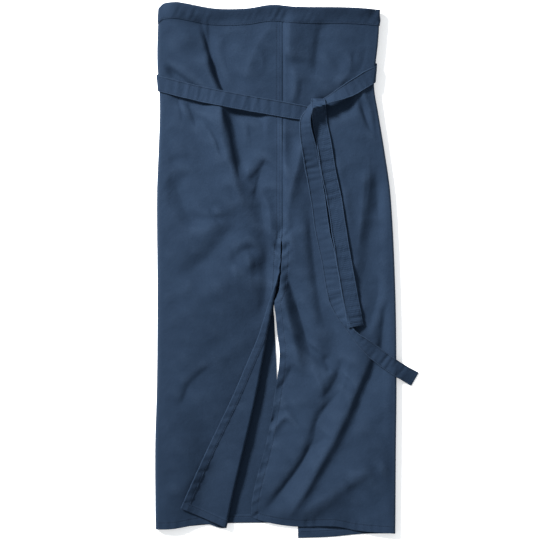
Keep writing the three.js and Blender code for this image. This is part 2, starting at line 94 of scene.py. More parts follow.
# Side folds of the tube and half the height of the roll the cloth makes in them: v, left, right, roll.
OUTLINE = np.array([
    (-10, -208, 166, 4.6),
    (54, -211, 163, 5.0),
    (100, -211, 158, 5.0),
    (136, -208, 156, 5.0),
    (180, -207, 163, 5.2),
    (240, -209, 173, 5.4),
    (320, -212, 184, 5.4),
    (480, -211, 192, 5.4),
    (640, -212, 194, 5.4),
    (750, -215, 193, 5.4),
    (900, -214, 192, 5.0),
])

# Top of the waistband: u, v.
WAIST = np.array([(-209, 1), (-202, -6), (-190, -8), (-176, -8), (-114, 3), (-60, 3), (-18, -3), (22, 0),
                  (116, 1), (166, 4)])

# Bottom edges of the four quarters: u, v.
HEM_FRONT_LEFT = np.array([(-214, 886), (-184, 885), (-129, 877), (-100, 884), (0, 890)])
HEM_BACK_LEFT = np.array([(-214, 886), (-95, 876), (-11, 875)])
HEM_FRONT_RIGHT = np.array([(-53, 865), (-30, 873), (20, 881), (90, 881), (128, 888), (192, 893)])
HEM_BACK_RIGHT = np.array([(31, 901), (83, 899), (136, 894), (192, 893)])
CORNER_HEM = 884.0  # v of the turned corner's bottom edge, before it is turned

# Slit edges of the two panels before the left corner is turned back: v, left, right.
SLIT = np.array([
    (380, 0, 0),
    (392, -0.5, 0),
    (402, -1.8, 0.5),
    (427, -2.4, -0.6),
    (454, -3.6, -2.6),
    (479, -4.5, -5),
    (489, -5, -9),
    (501, -5.5, -13.5),
    (519, -6.5, -11.2),
    (556, -8, -7.6),
    (580, -7.5, -4.6),
    (605, -6, -5),
    (634, -5, -9),
    (730, -5, -25),
    (830, -8, -50),
    (890, -8, -54),
])

# Left edge of the back opening, which swings to the right behind the top of the slit: v, u.
BACK_EDGE_LEFT = np.array([(-10, -11), (290, -11), (380, 7), (462, 7), (503, -13.2), (530, -12.9),
                           (560, -11.6), (640, -8.5), (760, -10), (900, -11)])

# Crease of the turned-back corner: a line that leaves the slit at v = start, leans by `lean` to the left
# and is bowed to the right. The cloth rolls over it with the radius, and `settle` beyond it the corner
# lies `lies` above the front.
CREASE = {"start": 421.8, "lean": 0.207, "radius": 3.4, "lies": 3.2, "settle": 45.0}
CREASE_BOW, CREASE_BOW_FROM, CREASE_BOW_TO = 4.6, 460.0, 860.0
CREASE_COS = 1 / np.hypot(1, CREASE["lean"])

# Heights: the back is lifted where the ties pass under it, the front is crowned between the side folds
# and drops towards the slit and the hem.
BACK_LIFT, BACK_LIFT_FROM, BACK_LIFT_TO = 4.6, 60.0, 300.0
CROWN, CROWN_REACH = 11.0, 60.0
SLIT_DROP = {LEFT: 15.5, RIGHT: 13.0}
SLIT_DROP_REACH = 75.0
HEM_DROP = {LEFT: 13.0, RIGHT: 20.0}
HEM_DROP_FROM, HEM_DROP_TO = 770.0, 950.0
WAIST_RISE, WAIST_RISE_FROM, WAIST_RISE_TO = 9.0, -8.0, 28.0  # of the front into the waistband
FOLD_REACH, DROP_REACH = 22.0, 80.0  # from a side roll to where the folds and the drops are full
FRONT_LIES = 2.2  # the front lies no closer to the back than this
FAR_FROM_SLIT = 1000.0  # for cloth that the slit does not lower

# Folds of the front: places (u, v) that the fold line passes, from its upper end down; height, negative
# for a valley; half widths on the left and on the right of the line; power of the fall on either side,
# 2 for a soft fold and near 1 for a crisp one.
FOLD_FADE = 0.28  # share of a fold line over which it fades out at either end
FOLDS = [
    # yoke, above the ties
    (((16, 3), (14, 74), (28, 100)), 6.7, 12, 23, 1.8),
    (((0, 19), (-34, 54), (-54, 95), (-64, 143)), 2.4, 10, 16, 1.8),
    (((-126, 6), (-119, 77), (-97, 154)), -3.8, 5, 9, 1.6),
    (((-140, 10), (-135, 52), (-126, 96)), -5.5, 24, 9, 1.8),
    (((70, 18), (60, 75), (56, 124)), -4.2, 10, 16, 1.8),
    (((66, 48), (94, 92), (104, 114)), -2.2, 10, 14, 1.7),
    (((-89, 40), (-94, 82), (-67, 139)), -2.2, 11, 13, 2),
    (((-53, 71), (-36, 79), (-35, 119)), 1.1, 11, 7, 1.7),
    (((145, 62), (133, 105), (119, 122)), -0.9, 8, 4, 1.6),
    (((123, 71), (116, 102), (100, 127)), -2.5, 10, 8, 1.6),
    (((-137, 18), (-121, 83), (-111, 118), (-76, 183)), -10, 5, 28, 1.5),
    (((115, 72), (115, 103), (91, 140)), 3.5, 10, 7, 1.7),
    (((-206, 97), (-178, 116), (-115, 162)), -7, 8, 7, 1.8),
    (((16, 92), (23, 124), (17, 170)), 3.8, 10, 13, 1.8),
    (((31, 123), (33, 135), (27, 160)), -0.9, 6, 5, 1.8),
    # left of the seam, between the ties and the slit
    (((-198, 146), (-160, 159), (-112, 170)), -4, 8, 6, 1.8),
    (((-104, 168), (-70, 178), (-18, 188)), -5.5, 9, 7, 1.8),
    (((-177, 144), (-174, 167), (-165, 198)), -1.3, 4, 4, 1.5),
    (((-162, 154), (-144, 204), (-151, 208)), -3.4, 6, 12, 1.5),
    (((-64, 205), (-59, 212), (-24, 201)), -2.5, 18, 16, 1.7),
    (((-138, 184), (-116, 213), (-98, 263)), -3, 4, 11, 1.4),
    (((-104, 159), (-91, 197), (-76, 271), (-69, 298)), -10, 4, 28, 1.5),
    (((-94, 184), (-83, 237), (-73, 289)), 4.8, 4, 6, 1.6),
    (((-104, 128), (-101, 224), (-84, 284), (-61, 362)), 8.4, 26, 14, 1.8),
    (((-197, 262), (-163, 258), (-150, 246)), -1.3, 10, 10, 1.7),
    (((-190, 250), (-178, 275), (-159, 300)), -1.5, 12, 12, 1.7),
    (((-25, 254), (-33, 270), (-59, 299)), -4.8, 7, 28, 1.5),
    (((-58, 262), (-56, 282), (-44, 291)), 0.9, 6, 5, 1.5),
    (((-34, 270), (-40, 295), (-48, 333)), -3.7, 7, 14, 1.5),
    (((-91, 298), (-83, 317), (-79, 332)), -0.8, 7, 6, 1.6),
    (((-200, 286), (-178, 306), (-157, 356), (-118, 376)), -7.1, 15, 26, 1.6),
    (((-47, 306), (-25, 336), (-19, 401)), 6.2, 28, 10, 1.8),
    (((-148, 353), (-128, 350), (-96, 346)), 1.2, 6, 7, 1.5),
    (((-123, 340), (-119, 349), (-101, 367)), -1.5, 4, 4, 1.4),
    (((-71, 343), (-81, 355), (-118, 360)), -1.2, 6, 12, 1.6),
    (((-126, 357), (-109, 356), (-78, 346)), -0.7, 6, 4, 1.5),
    (((-38, 303), (-31, 360), (-22, 402)), -10, 17, 28, 1.8),
    (((-90, 437), (-63, 412), (-37, 409)), -4, 14, 10, 1.5),
    (((-60, 350), (-95, 387), (-128, 427), (-186, 472)), -7.1, 19, 28, 1.8),
    (((-21, 375), (-33, 444), (-57, 460)), -8.9, 28, 28, 1.7),
    (((-88, 432), (-64, 417), (-49, 433)), 0.7, 5, 5, 1.5),
    (((-90, 436), (-66, 443), (-44, 433)), 2.1, 27, 10, 1.8),
    (((-25, 395), (-27, 481), (-36, 537)), -4.5, 12, 15, 1.8),
    (((-152, 458), (-162, 479), (-183, 489)), 0.9, 8, 10, 1.7),
    # left panel, below
    (((-134, 463), (-107, 535), (-134, 617)), -1.6, 28, 28, 2),
    (((-108, 600), (-156, 639), (-167, 666), (-183, 684)), -4.1, 8, 28, 1.5),
    (((-170, 648), (-120, 772), (-163, 898)), -5.7, 28, 25, 2),
    # right of the seam, between the ties and the slit
    (((54, 172), (86, 161), (126, 152)), -8.5, 24, 13, 1.8),
    (((128, 120), (155, 186), (158, 230)), 3.3, 6, 9, 1.7),
    (((170, 156), (160, 191), (169, 230)), -9.3, 4, 7, 1.7),
    (((131, 155), (149, 202), (169, 224)), -3.6, 5, 8, 1.6),
    (((-2, 174), (3, 250), (13, 311)), 4.6, 7, 12, 1.8),
    (((164, 225), (166, 249), (176, 278)), -1.6, 7, 5, 1.5),
    (((41, 202), (22, 286), (4, 346)), 6.9, 14, 15, 1.6),
    (((146, 247), (148, 300), (141, 363)), 1, 6, 6, 1.5),
    (((89, 236), (107, 322), (114, 392)), 1.8, 10, 9, 1.8),
    (((185, 269), (166, 324), (163, 361)), -1.8, 7, 18, 1.8),
    (((142, 259), (136, 346), (128, 427)), 1.9, 7, 9, 1.6),
    (((188, 227), (165, 302), (156, 353), (128, 530)), -5, 17, 28, 1.8),
    (((18, 302), (10, 361), (24, 430)), 1.4, 7, 7, 1.7),
    (((25, 369), (7, 385), (-3, 403)), -1.4, 5, 4, 1.4),
    (((0, 367), (-8, 408), (12, 421)), -3.2, 5, 4, 1.4),
    (((44, 320), (58, 454), (76, 559)), -6.1, 10, 28, 1.8),
    (((-9, 389), (0, 384), (12, 376)), 1.4, 3, 3, 1.6),
    (((4, 396), (8, 403), (7, 416)), -1.6, 3, 3, 1.5),
    # right panel, below
    (((160, 440), (162, 487), (139, 563)), -3.5, 28, 8, 1.6),
    (((0, 424), (43, 568), (49, 602)), -8.7, 13, 14, 1.4),
    (((-9, 438), (11, 531), (36, 632)), 10, 20, 14, 1.7),
    (((194, 482), (177, 515), (166, 610)), -4.6, 9, 28, 1.6),
    (((89, 505), (78, 595), (20, 582)), -9.4, 28, 28, 1.8),
    (((64, 593), (72, 596), (82, 623)), -2.4, 8, 9, 1.5),
    (((22, 601), (8, 628), (-16, 666)), -4, 7, 14, 1.4),
    (((108, 589), (87, 642), (64, 672)), -6.5, 10, 28, 1.6),
    (((116, 594), (107, 633), (91, 683)), 0.7, 6, 5, 1.6),
    (((47, 601), (66, 645), (72, 671)), 2.6, 17, 9, 1.6),
    (((169, 580), (142, 650), (119, 712)), -4.5, 9, 28, 1.5),
    (((176, 548), (144, 628), (114, 693), (65, 785), (20, 854)), -5.6, 6, 28, 1.4),
    (((33, 708), (4, 696), (-23, 733)), 5.4, 17, 6, 1.5),
    (((71, 676), (53, 730), (44, 756)), 2.9, 4, 10, 1.5),
    (((21, 675), (-13, 695), (-37, 801)), -10, 9, 17, 1.4),
    (((67, 716), (73, 730), (47, 747)), -2, 8, 8, 1.5),
    (((129, 639), (113, 691), (101, 714), (86, 745), (39, 823), (-2, 879)), 9, 28, 8, 1.5),
    (((116, 638), (69, 686), (51, 738), (33, 774), (-2, 822), (-40, 869)), -10, 8, 28, 1.4),
    (((173, 773), (132, 810), (107, 830)), -5.9, 15, 28, 1.7),
    (((197, 766), (107, 816), (10, 876)), 9, 20, 28, 1.8),
    (((140, 796), (105, 826), (10, 908)), -7, 28, 28, 1.7),
]

# Ties seen from above: where the middle of the strip runs and half its width there (u, v, half). The
# first row of each run lies on the side fold, and the tail hangs on from the knot.
LEFT_RUN = np.array([
    (-199, 132, 13),
    (-139, 147, 13),
    (-58, 163, 13),
    (-12, 171, 13),
    (28, 178, 12.5),
    (42, 179, 11),
    (52, 176, 9),
    (57, 169, 8),
    (59, 160, 9),
])
LEFT_TAIL = np.array([
    (61, 160, 12),
    (62, 174, 12.4),
    (64, 196, 12.5),
    (71, 230, 12.5),
    (79, 280, 12.5),
    (88, 322, 12.5),
    (97, 380, 12.5),
    (104, 425, 12.8),
    (111.5, 468, 13.2),
    (124.5, 541, 13.4),
])
RIGHT_RUN = np.array([
    (146, 120, 13),
    (117, 138, 12.5),
    (98, 148, 10),
    (76, 158.5, 5.8),
    (61, 164.5, 5.2),
    (51, 168.5, 4.5),
])
RIGHT_TAIL = np.array([
    (51, 168.5, 4.5),
    (45.5, 177, 5.5),
    (39.5, 192, 8.7),
    (40.5, 212, 10.6),
    (46, 241, 12.5),
    (61, 326, 12.5),
    (68, 377, 12.5),
    (79.5, 430, 12.8),
    (90, 490, 12.5),
    (100, 520, 9),
    (113, 544, 5),
    (124, 557, 6.5),
    (136, 568, 9.5),
    (160, 588, 12),
    (192, 611, 12.5),
    (226, 631, 12.5),
])

# Knot: the share of the right tie at which it ends, and how much cloth that is drawn narrow in it leans.
KNOT_SHARE, KNOT_LEAN = 0.165, 0.4
RUN_PASSES, TAIL_PASSES = 1500, 600  # that settle the run of a tie, and the tail on top of the knot

# Ripples along the hemmed edges: height, wavelength, seed, and from where to where off the edge they fade.
RIPPLES = {"slit": (0.55, 15, 21, 9, 19), "back": (0.3, 17, 23, 8, 22), "bottom": (0.2, 17, 22, 8, 22)}

# Edges of the panels: the share of its thickness that cloth loses at its rim and how far in that goes; the
# depths and the half width of the grooves at rows of stitches; how much dye is rubbed off at rims and
# beside hems; and how much a painted highlight makes fold ridges paler.
RIM_THIN, RIM_REACH = 0.55, 0.9
HEM_GROOVE, SEAM_GROOVE, SEWN_WIDE = 0.22, 0.2, 0.8
RIM_WEAR, HEM_WEAR, FOLD_HIGHLIGHT = 0.12, 0.1, 0.25

# Rings of a stitch: shares of its length along it, and of its radius in thickness and out of the cloth.
STITCH_RINGS = np.array([
    (-0.5, 0.35, -0.8),
    (-0.32, 0.9, 0.3),
    (0, 1, 0.75),
    (0.32, 0.9, 0.3),
    (0.5, 0.35, -0.8),
])


def smoothstep(x, low, high):
    """0 below low, 1 above high, and 3t² - 2t³ between them."""
    t = np.clip((x - low) / (high - low), 0, 1)
    return t * t * (3 - 2 * t)


def bell(x, centre, width):
    """1 at the centre, falling off on both sides as exp(-(distance / width)²)."""
    return np.exp(-((x - centre) / width) ** 2)


def lerp(start, end, share):
    """Straight-line mix of two values."""
    return start + (end - start) * share


def shares(stretch):
    """Even steps over the columns of a stretch, from just past 0 to 1."""
    return np.arange(1, stretch.shape[1] + 1) / stretch.shape[1]


def track(table, column):
    """Smooth curve through a column of a table, read along its first column and held beyond its ends.

    Between two rows it is the cubic that meets both values, with the slope between each row's neighbours.
    """
    x, y = table[:, 0], table[:, column]
    last = len(x) - 1
    nearer = np.maximum(np.arange(len(x)) - 1, 0)
    further = np.minimum(np.arange(len(x)) + 1, last)
    slope = (y[further] - y[nearer]) / (x[further] - x[nearer])

    def at(place):
        """Value of the curve at a place along it."""
        place = np.clip(place, x[0], x[-1])
        i = np.clip(np.searchsorted(x, place, side="right") - 1, 0, last - 1)
        step = x[i + 1] - x[i]
        t = (place - x[i]) / step
        return (y[i] * (1 + 2 * t) * (1 - t) ** 2 + slope[i] * step * t * (1 - t) ** 2
                + y[i + 1] * t * t * (3 - 2 * t) + slope[i + 1] * step * t * t * (t - 1))

    return at


side_fold = {LEFT: track(OUTLINE, 1), RIGHT: track(OUTLINE, 2)}
roll_radius = track(OUTLINE, 3)
waist_top = track(WAIST, 1)
slit_left = track(SLIT, 1)
slit_right = track(SLIT, 2)
left_back_edge = track(BACK_EDGE_LEFT, 1)


def roll_width(v):
    """How far the roll of a side fold reaches out, less than half its height since the fold is pressed."""
    return 0.6 * roll_radius(v)


def roll_middle(side, v):
    """u at which the roll of a side fold meets the front above it and the back below it."""
    return side_fold[side](v) - side * roll_width(v)


def run_length(points, axis):
    """Length travelled along one direction of a grid or a line of points, from 0 at its start."""
    step = np.linalg.norm(np.diff(points, axis=axis), axis=-1)
    start = np.zeros_like(np.take(step, [0], axis=axis))
    return np.concatenate([start, np.cumsum(step, axis=axis)], axis=axis)


def unit(vectors):
    """Vectors brought to length 1."""
    return vectors / np.linalg.norm(vectors, axis=-1, keepdims=True)


def read_along(place, length, line):
    """Points of a line at places along its length."""
    return np.column_stack([np.interp(place, length, column) for column in line.T])


def spaced_line(points, count):
    """Smooth line through rows of (u, v, half width), as `count` rows at even steps of its length."""
    table = np.column_stack([run_length(points[:, :2], 0), points])
    fine = np.linspace(0, table[-1, 0], 400)
    line = np.column_stack([track(table, k + 1)(fine) for k in range(points.shape[1])])
    length = run_length(line[:, :2], 0)
    return read_along(np.linspace(0, length[-1], count), length, line)


def wander(place, wavelength, seed):
    """Uneven wave about 0 with heights near 1: five sines of nearby wavelengths and seeded phases."""
    rng = np.random.default_rng(seed)
    lengths = wavelength * rng.uniform(0.65, 1.6, 5)
    phases = rng.uniform(0, 2 * np.pi, 5)
    return np.sin(2 * np.pi * np.asarray(place)[..., None] / lengths + phases).sum(-1) / np.sqrt(5)


def crumple(u, v):
    """Slight unevenness of pressed cloth: twelve plane waves, 22 to 75 mm long and 0.35 % of that high, in
    seeded directions."""
    rng = np.random.default_rng(7)
    total = np.zeros(np.broadcast(u, v).shape)
    for _ in range(12):
        length, heading, phase = rng.uniform(22, 75), rng.uniform(0, np.pi), rng.uniform(0, 2 * np.pi)
        along = u * np.cos(heading) + v * np.sin(heading)
        total += 0.0035 * length * np.sin(2 * np.pi * along / length + phase)
    return total


def fold_height(u, v):
    """Sum of all folds. A fold line bends off the straight line between its ends; the fold is
    height · exp(-(distance / width) ^ power) beside it, with its own width on either side, and fades out
    over the share FOLD_FADE of the line at both ends."""
    total = np.zeros(np.broadcast(u, v).shape)
    for points, high, wide_left, wide_right, power in FOLDS:
        points = np.array(points, float)
        length = np.linalg.norm(points[-1] - points[0])
        along = (points[-1] - points[0]) / length
        across = np.array([-along[1], along[0]])
        offset = points - points[0]
        bend = track(np.column_stack([offset @ along, offset @ across]), 1)
        du, dv = u - points[0, 0], v - points[0, 1]
        run = du * along[0] + dv * along[1]
        lean = (bend(run + 1) - bend(run - 1)) / 2
        away = (du * across[0] + dv * across[1] - bend(run)) / np.hypot(1, lean)
        wide = np.where(away > 0, wide_left, wide_right)
        fade = smoothstep(run, 0, FOLD_FADE * length) * smoothstep(length - run, 0, FOLD_FADE * length)
        total += high * fade * np.exp(-(np.abs(away) / wide) ** power)
    return total


def crease_at(v):
    """u of the crease of the turned corner: a line leaning to the left, bowed to the right by sin²."""
    share = np.clip((v - CREASE_BOW_FROM) / (CREASE_BOW_TO - CREASE_BOW_FROM), 0, 1)
    return CREASE_BOW * np.sin(np.pi * share) ** 2 - CREASE["lean"] * (v - CREASE["start"])


def back_height(v):
    """Middle of the back cloth: on the floor, lifted by the ties under its upper part."""
    return CLOTH / 2 + BACK_CLEAR + BACK_LIFT * (1 - smoothstep(v, BACK_LIFT_FROM, BACK_LIFT_TO))


def front_height(u, v, from_slit, side):
    """Middle of the front cloth: the back plus the side rolls' height, a crown that rises away from the
    side folds, the folds and a rise into the waistband, less a drop. The drop is the hypotenuse of a
    bell-shaped one at the open slit and one at the hem. Where the room that this leaves over the back runs
    out, half of room + sqrt(room² + 2) takes its place and stays above 0."""
    inward = np.maximum(0, np.minimum(u - roll_middle(LEFT, v), roll_middle(RIGHT, v) - u))
    crown = CROWN * (1 - np.exp(-inward / CROWN_REACH))
    opened = smoothstep(v, SLIT_TOP - 10, SLIT_TOP + 150)
    near_slit = bell(np.maximum(0, from_slit), 0, SLIT_DROP_REACH)
    drop = np.hypot(SLIT_DROP[side] * opened * near_slit,
                    HEM_DROP[side] * smoothstep(v, HEM_DROP_FROM, HEM_DROP_TO))
    rise = WAIST_RISE * (1 - smoothstep(v, WAIST_RISE_FROM, WAIST_RISE_TO))
    relief = smoothstep(inward, 0, FOLD_REACH) * (fold_height(u, v) + crumple(u, v) + rise)
    room = 2 * roll_radius(v) + crown + relief - smoothstep(inward, 0, DROP_REACH) * drop - FRONT_LIES
    return back_height(v) + FRONT_LIES + (room + np.sqrt(room ** 2 + 2)) / 2


def left_front(sheet_u, sheet_v):
    """Left front: the sheet runs up to the crease, rolls over it through half a circle and lies back on
    itself, so that the turned corner mirrors the sheet beyond the crease. The corner's free edge waves."""
    radius = CREASE["radius"]
    past = (sheet_u - crease_at(sheet_v)) * CREASE_COS + radius
    turn = np.clip(past / radius, 0, np.pi)
    back = np.maximum(0, past - np.pi * radius)
    shift = np.where(past > 0, radius * np.sin(turn) - back - past, 0)
    u = sheet_u + shift * CREASE_COS
    v = sheet_v + shift * CREASE_COS * CREASE["lean"]
    lies = (CREASE["lies"] - 2 * radius) * smoothstep(back, 0, CREASE["settle"])
    wave = 1.2 * smoothstep(back, 20, 90) * (1 + wander(sheet_v, 90, 3))
    rise = radius * (1 - np.cos(turn)) + lies + wave
    return np.stack([u, v, front_height(u, v, crease_at(v) - u, LEFT) + rise], -1)


def right_front(u, v):
    """Right front: the height of the front, dipped under the left panel's lap along the centre seam, with
    a slit edge that waves where its hem is puckered."""
    edge = slit_right(v)
    lapped = 1 - smoothstep(v, SLIT_TOP - 12, SLIT_TOP + 6)
    dip = -(CLOTH + LAP_CLEAR) * (1 - smoothstep(u, 0.6, SEAM_LAP)) * lapped
    pucker = 1.1 * wander(v, 34, 11) * np.exp(-np.maximum(0, u - edge) / 14) * smoothstep(v, 420, 480)
    return np.stack([u, v, front_height(u, v, u - edge, RIGHT) + dip + pucker], -1)


def side_roll(side, turn, v):
    """Side fold: half an ellipse from the front (turn 0) to the back (turn 1)."""
    angle = np.pi * (0.5 - turn)
    return np.stack([roll_middle(side, v) + side * roll_width(v) * np.cos(angle), v,
                     back_height(v) + roll_radius(v) * (1 + np.sin(angle))], -1)


def back_sheet(side, share, v):
    """Back: flat from the side fold to the edge of the back opening, which is straight on the right and
    swings on the left."""
    edge = left_back_edge(v) if side == LEFT else BACK_EDGE[RIGHT]
    return np.stack([lerp(roll_middle(side, v), edge, share), v, back_height(v)], -1)


def placed(points):
    """Apron coordinates in millimetres to the part's frame in metres: x = u - middle, y = middle - v."""
    return np.stack([points[..., 0] - MIDDLE_U, MIDDLE_V - points[..., 1], points[..., 2]], -1) * MM


def grid_normals(points):
    """Unit normals of a grid: the cross product of its differences down the rows and along them."""
    return unit(np.cross(np.gradient(points, axis=0), np.gradient(points, axis=1)))


def new_piece(name, verts, quads, material):
    """Object at the origin with a smooth-shaded mesh of quads, riding on the apron's one body."""
    mesh = bpy.data.meshes.new(name)
    mesh.from_pydata(verts, [], quads, shade_flat=False)
    mesh.materials.append(material)
    piece = bpy.data.objects.new(name, mesh)
    scene.collection.objects.link(piece)
    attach(piece, "root")
    return piece


def grid_quads(rows, columns, wrap=False):
    """Quads of a grid of points numbered row by row; wrap joins the last column to the first."""
    index = np.arange(rows * columns).reshape(rows, columns)
    if wrap:
        index = np.column_stack([index, index[:, 0]])
    return np.stack([index[:-1, :-1], index[1:, :-1], index[1:, 1:], index[:-1, 1:]], -1).reshape(-1, 4)


def cloth_wall(name, points, face, lining, wear_and_highlight, material):
    """Closed sheet about a grid of middle points: one skin `face` millimetres out along the normals, the
    other `lining` millimetres in, joined by a rim. UV is the length along the sheet both ways, in
    metres, and the attribute `wear_and_highlight` says how much paler the threads are drawn: rubbed dye,
    and on the panels' fold ridges and the ties' edges and puckers a painted highlight."""
    rows, columns = points.shape[:2]
    middle = placed(points)
    normal = grid_normals(middle)
    outer = middle + normal * face[..., None] * MM
    inner = middle - normal * lining[..., None] * MM
    verts = np.concatenate([outer.reshape(-1, 3), inner.reshape(-1, 3)])
    index = np.arange(rows * columns).reshape(rows, columns)
    edge = np.r_[index[:-1, 0], index[-1, :-1], index[:0:-1, -1], index[0, :0:-1]]
    ahead = np.roll(edge, -1)
    skin = grid_quads(rows, columns)
    under = skin[:, ::-1] + rows * columns
    rim = np.stack([ahead, edge, edge + rows * columns, ahead + rows * columns], -1)
    quads = np.concatenate([skin, under, rim])
    piece = new_piece(name, verts, quads, material)
    flat = np.stack([run_length(points, 1), run_length(points, 0)], -1).reshape(-1, 2) * MM
    uv = piece.data.uv_layers.new(name="cloth")
    uv.data.foreach_set("uv", np.tile(flat, (2, 1))[quads].astype(np.float32).ravel())
    wear_and_highlight_layer = piece.data.attributes.new("wear_and_highlight", "FLOAT", "POINT")
    wear_and_highlight_layer.data.foreach_set("value", np.tile(wear_and_highlight.ravel(), 2).astype(np.float32))
    piece.data.set_sharp_from_angle(angle=np.radians(50))
    return piece


def stitch_row(path, normal):
    """Row of stitches along a path: at every pitch a thread with six sides through STITCH_RINGS, sunk into
    the cloth at its ends. Gives its points and quads."""
    gone = run_length(path, 0)
    at = np.arange(STITCH_PITCH, gone[-1] - STITCH_PITCH, STITCH_PITCH)
    centre = read_along(at, gone, path)
    ahead = unit(read_along(at + 1, gone, path) - centre)
    across = unit(np.cross(ahead, read_along(at, gone, normal)))
    out = np.cross(across, ahead)
    rings, sides = len(STITCH_RINGS), 6
    along, thick, bow = STITCH_RINGS.T[:, :, None]
    angle = np.linspace(0, 2 * np.pi, sides, endpoint=False)
    x = STITCH_LENGTH * np.repeat(along, sides)
    y = STITCH_RADIUS * (thick * np.cos(angle)).ravel()
    z = STITCH_RADIUS * (thick * np.sin(angle) + bow).ravel()
    verts = (centre[:, None] + ahead[:, None] * x[:, None] + across[:, None] * y[:, None]
             + out[:, None] * z[:, None])
    cap = np.array([(0, 1, 2, 3), (0, 3, 4, 5)])
    last = sides * (rings - 1)
    quads = np.concatenate([grid_quads(rings, sides, wrap=True), cap, last + cap[:, ::-1]])
    first = rings * sides * np.arange(len(at))
    return verts.reshape(-1, 3), (quads + first[:, None, None]).reshape(-1, 4)


def stitches(name, rows):
    """One piece of all the stitch rows given as (path, normal) in apron coordinates. Its quads are turned
    round, because placing them mirrors v."""
    verts, quads, count = [], [], 0
    for path, normal in rows:
        points, faces = stitch_row(path, normal)
        verts.append(points)
        quads.append(faces + count)
        count += len(points)
    return new_piece(name, placed(np.concatenate(verts)), np.concatenate(quads)[:, ::-1], thread)


def linear(hex_colour):
    """sRGB hex colour to linear RGBA."""
    srgb = np.array([int(hex_colour[k:k + 2], 16) for k in (1, 3, 5)]) / 255
    rgb = np.where(srgb <= 0.04045, srgb / 12.92, ((srgb + 0.055) / 1.055) ** 2.4)
    return (*rgb, 1.0)


def new_material(name, values):
    """Material with values on its shader's sockets; gives it, its node tree and its shader."""
    material = bpy.data.materials.new(name)
    material.use_nodes = True
    tree = material.node_tree
    shader = tree.nodes["Principled BSDF"]
    for socket, value in values.items():
        shader.inputs[socket].default_value = value
    return material, tree, shader


def add(tree, kind, output, inputs=(), **settings):
    """Output socket of a new node with its settings; each input is a socket's name with its value or the
    socket it takes."""
    node = tree.nodes.new("ShaderNode" + kind)
    for name, value in settings.items():
        setattr(node, name, value)
    for name, value in dict(inputs).items():
        if isinstance(value, bpy.types.NodeSocket):
            tree.links.new(value, node.inputs[name])
        else:
            node.inputs[name].default_value = value
    return node.outputs[output]


def twill(name):
    """Yarn-dyed cotton twill, woven 3/1: matt, with fine steep diagonal ribs, a soft sheen from the fibre
    ends, dye that varies in cloudy patches, cockles about 11 mm across, and paler threads where edges are
    rubbed and where a highlight is painted on fold ridges, tie edges and puckers.

    Real ribs are 0.7 mm apart, too fine to show at this distance, so they are drawn 1.5 mm apart."""
    material, tree, shader = new_material(name, {
        "Roughness": 0.82, "Specular IOR Level": 0.06, "Sheen Weight": 0.03, "Sheen Roughness": 0.5,
        "Sheen Tint": linear("#8fa3c4")})
    cloth = add(tree, "UVMap", "UV", uv_map="cloth")
    place = add(tree, "TexCoord", "Object")
    wear_and_highlight = add(tree, "Attribute", "Fac", attribute_name="wear_and_highlight")
    turned = add(tree, "Mapping", "Vector", {"Vector": cloth, "Rotation": (0, 0, np.radians(27))})
    # a wave texture repeats every 2π / 20 units at scale 1
    ribs = add(tree, "TexWave", "Fac", {"Vector": turned, "Scale": 2 * np.pi / (20 * 0.0015),
                                        "Distortion": 1.2, "Detail": 2.0, "Detail Scale": 1.6})
    slubs = add(tree, "TexNoise", "Fac", {"Vector": cloth, "Scale": 1 / 0.0022, "Detail": 3.0})
    clouds = add(tree, "TexNoise", "Fac", {"Vector": place, "Scale": 1 / 0.07, "Detail": 4.0})
    cockles = add(tree, "TexNoise", "Fac", {"Vector": cloth, "Scale": 1 / 0.011, "Detail": 4.0})
    weave = add(tree, "Math", "Value", {0: ribs, 1: slubs}, operation="MULTIPLY")
    shade = add(tree, "Math", "Value", {0: clouds, 1: 0.45, 2: weave}, operation="MULTIPLY_ADD")
    spread = add(tree, "MapRange", "Result", {"Value": shade, "From Min": 0.25, "From Max": 0.85})
    dyed = add(tree, "Mix", "Result", {"Factor": spread, "A": linear("#172333"), "B": linear("#202e40")},
               data_type="RGBA")
    # threads paler by `wear_and_highlight`: rubbed dye at edges, and a painted highlight on ridges, tie edges
    # and puckers
    patchy = add(tree, "Math", "Value", {0: wear_and_highlight, 1: slubs}, operation="MULTIPLY")
    colour = add(tree, "Mix", "Result", {"Factor": patchy, "A": dyed, "B": linear("#364559")},
                 data_type="RGBA")
    cockle = add(tree, "Bump", "Normal", {"Height": cockles, "Strength": 0.6, "Distance": 0.0012})
    relief = add(tree, "Bump", "Normal", {"Height": weave, "Strength": 0.4, "Distance": 0.0004,
                                          "Normal": cockle})
    tree.links.new(colour, shader.inputs["Base Color"])
    tree.links.new(relief, shader.inputs["Normal"])
    return material


def plain(name, colour, values):
    """Material of one colour with a faint mottle, 3 mm across."""
    material, tree, shader = new_material(name, {"Specular IOR Level": 0.1, **values})
    place = add(tree, "TexCoord", "Object")
    mottle = add(tree, "TexNoise", "Fac", {"Vector": place, "Scale": 1 / 0.003, "Detail": 2.0})
    tone = add(tree, "MapRange", "Result", {"Value": mottle, "To Min": 0.94, "To Max": 1.06})
    tinted = add(tree, "Mix", "Result", {"Factor": 1.0, "A": linear(colour), "B": tone}, data_type="RGBA",
                 blend_type="MULTIPLY")
    tree.links.new(tinted, shader.inputs["Base Color"])
    return material


navy_twill = twill("navy_cotton_twill")
tie_twill = twill("navy_tie_twill")
# Spun polyester sewing thread: matt, and a shade darker than the cloth it sinks into.
thread = plain("navy_polyester_thread", "#151d2a", {"Roughness": 0.8})
# Matt white paper. It shines by itself a little, so that it is white where the light leaves cloth dark.
paper = plain("pale_paper", "#f4f4f4", {
    "Roughness": 0.9, "Emission Color": (1, 1, 1, 1), "Emission Strength": 0.4})


def hem_fold(distance):
    """Thickness that a hem adds inside: two more layers out to its width, drawn in at the stitches."""
    layers = 1 - smoothstep(distance, HEM - 0.6, HEM + 0.6)
    return layers - 0.4 * bell(distance, HEM_STITCH, SEWN_WIDE)


